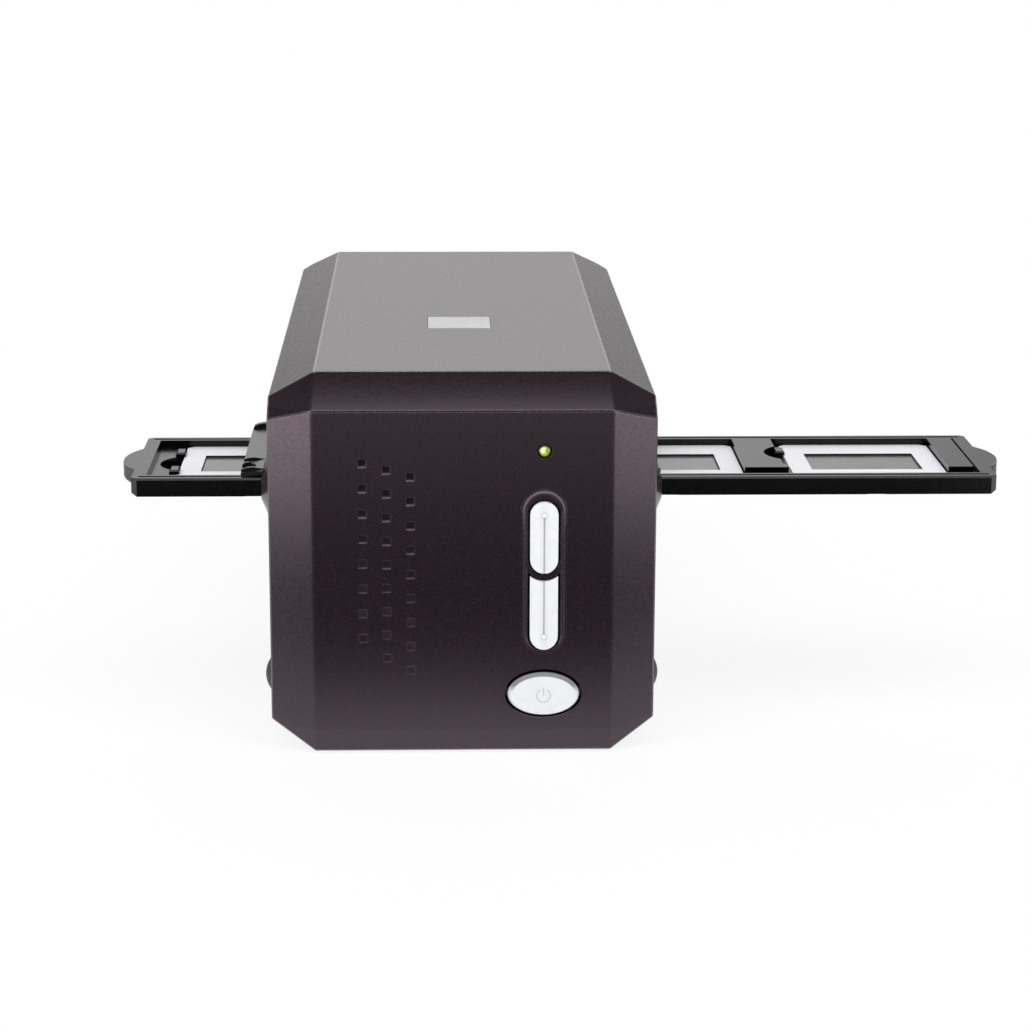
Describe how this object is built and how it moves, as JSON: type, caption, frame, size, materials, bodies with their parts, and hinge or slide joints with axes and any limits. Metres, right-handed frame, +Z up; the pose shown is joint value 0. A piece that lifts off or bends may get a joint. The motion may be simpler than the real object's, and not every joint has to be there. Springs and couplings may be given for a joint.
{
  "type": "film negative scanner",
  "caption": "Faceted desktop film scanner with a sliding slide holder running through it, hinged dust doors at its slots, two scan buttons, a power button and a moving scan carriage.",
  "frame": {"origin": "centre of the overall footprint at table height, under the middle of the slide holder", "axes": "+X to the right along the slide holder, +Y from the front face to the back, +Z up"},
  "size_m": [0.286, 0.272, 0.12],
  "materials": {
    "housing_plastic": "dark brown-black satin plastic with a fine texture",
    "surround_plastic": "near-black satin plastic",
    "door_plastic": "black polished plastic",
    "button_plastic": "white satin plastic",
    "light_lens": "green translucent lens",
    "holder_plastic": "black polished plastic",
    "slide_card": "white slide frame",
    "film": "grey film",
    "rubber": "black rubber",
    "pin_steel": "turned steel",
    "screw_steel": "blackened steel",
    "chassis_plastic": "glass-filled black plastic",
    "circuit_board": "green solder mask",
    "component_black": "moulded black epoxy",
    "diffuser_plastic": "opal diffuser",
    "mirror_glass": "front-surface mirror",
    "lens_glass": "coated lens glass",
    "lens_black": "black anodised",
    "rod_steel": "ground steel",
    "bronze": "sintered bronze",
    "motor_metal": "zinc-plated case",
    "socket_metal": "nickel-plated shell",
    "jack_plastic": "black plastic"
  },
  "bodies": {
    "housing": {"front_bezel": "housing_plastic", "top_cover": "housing_plastic", "base_tray": "housing_plastic", "rear_cover": "housing_plastic", "left_slot_bezel": "surround_plastic", "right_slot_bezel": "surround_plastic", "left_door_pin": "pin_steel", "right_door_pin": "pin_steel", "side_bumpers": "rubber", "rubber_feet": "rubber", "rear_screws": "screw_steel", "status_light": "light_lens", "button_board": "circuit_board", "tact_switches": "component_black", "chassis": "chassis_plastic", "film_gate": "chassis_plastic", "index_spring": "pin_steel", "lamp_housing": "chassis_plastic", "lamp_diffuser": "diffuser_plastic", "lamp_board": "circuit_board", "lamp_lights": "diffuser_plastic", "guide_rods": "rod_steel", "stepper_motor": "motor_metal", "main_board": "circuit_board", "board_chips": "component_black", "usb_socket": "socket_metal", "power_jack": "jack_plastic"},
    "film_holder": {"holder_frame": "holder_plastic", "slide_mount_1": "slide_card", "slide_mount_2": "slide_card", "slide_mount_3": "slide_card", "slide_mount_4": "slide_card", "film_chip_1": "film", "film_chip_2": "film", "film_chip_3": "film", "film_chip_4": "film"},
    "scan_carriage": {"carriage_body": "chassis_plastic", "carriage_bushes": "bronze", "carriage_cover": "chassis_plastic", "fold_mirror": "mirror_glass", "lens_barrel": "lens_black", "lens_glass": "lens_glass", "lens_clamp": "chassis_plastic", "sensor_board": "circuit_board", "line_sensor": "component_black", "drive_nut": "bronze"},
    "left_door": {"left_dust_door": "door_plastic"},
    "right_door": {"right_dust_door": "door_plastic"},
    "upper_button": {"upper_scan_button": "button_plastic"},
    "lower_button": {"lower_scan_button": "button_plastic"},
    "power_key": {"power_button": "button_plastic"},
    "screw": {"lead_screw": "rod_steel"}
  },
  "joints": [
    {"name": "holder_slide", "type": "slide", "parent": "housing", "child": "film_holder", "axis": [1, 0, 0], "range_m": [-0.1322, 0.0661]},
    {"name": "left_door_hinge", "type": "hinge", "parent": "housing", "child": "left_door", "pos_m": [-0.0949, -0.1049, 0.08455], "axis": [0, 1, 0], "range_deg": [0, 60]},
    {"name": "right_door_hinge", "type": "hinge", "parent": "housing", "child": "right_door", "pos_m": [0.0288, -0.1049, 0.08455], "axis": [0, 1, 0], "range_deg": [0, 20]},
    {"name": "upper_button_press", "type": "slide", "parent": "housing", "child": "upper_button", "axis": [0, 1, 0], "range_m": [0, 0.0008], "stiffness_N_per_m": 500},
    {"name": "lower_button_press", "type": "slide", "parent": "housing", "child": "lower_button", "axis": [0, 1, 0], "range_m": [0, 0.0008], "stiffness_N_per_m": 500},
    {"name": "power_button_press", "type": "slide", "parent": "housing", "child": "power_key", "axis": [0, 1, 0], "range_m": [0, 0.0008], "stiffness_N_per_m": 500},
    {"name": "carriage_travel", "type": "slide", "parent": "housing", "child": "scan_carriage", "axis": [0, 1, 0], "range_m": [0, 0.024]},
    {"name": "lead_screw_turn", "type": "hinge", "parent": "housing", "child": "screw", "pos_m": [-0.01297, -0.1154, 0.018], "axis": [0, 1, 0], "range_deg": [0, 2160.1]}
  ],
  "couplings": [
    {"joint": "lead_screw_turn", "follows": "carriage_travel", "rad_per_m": 1570.8}
  ]
}
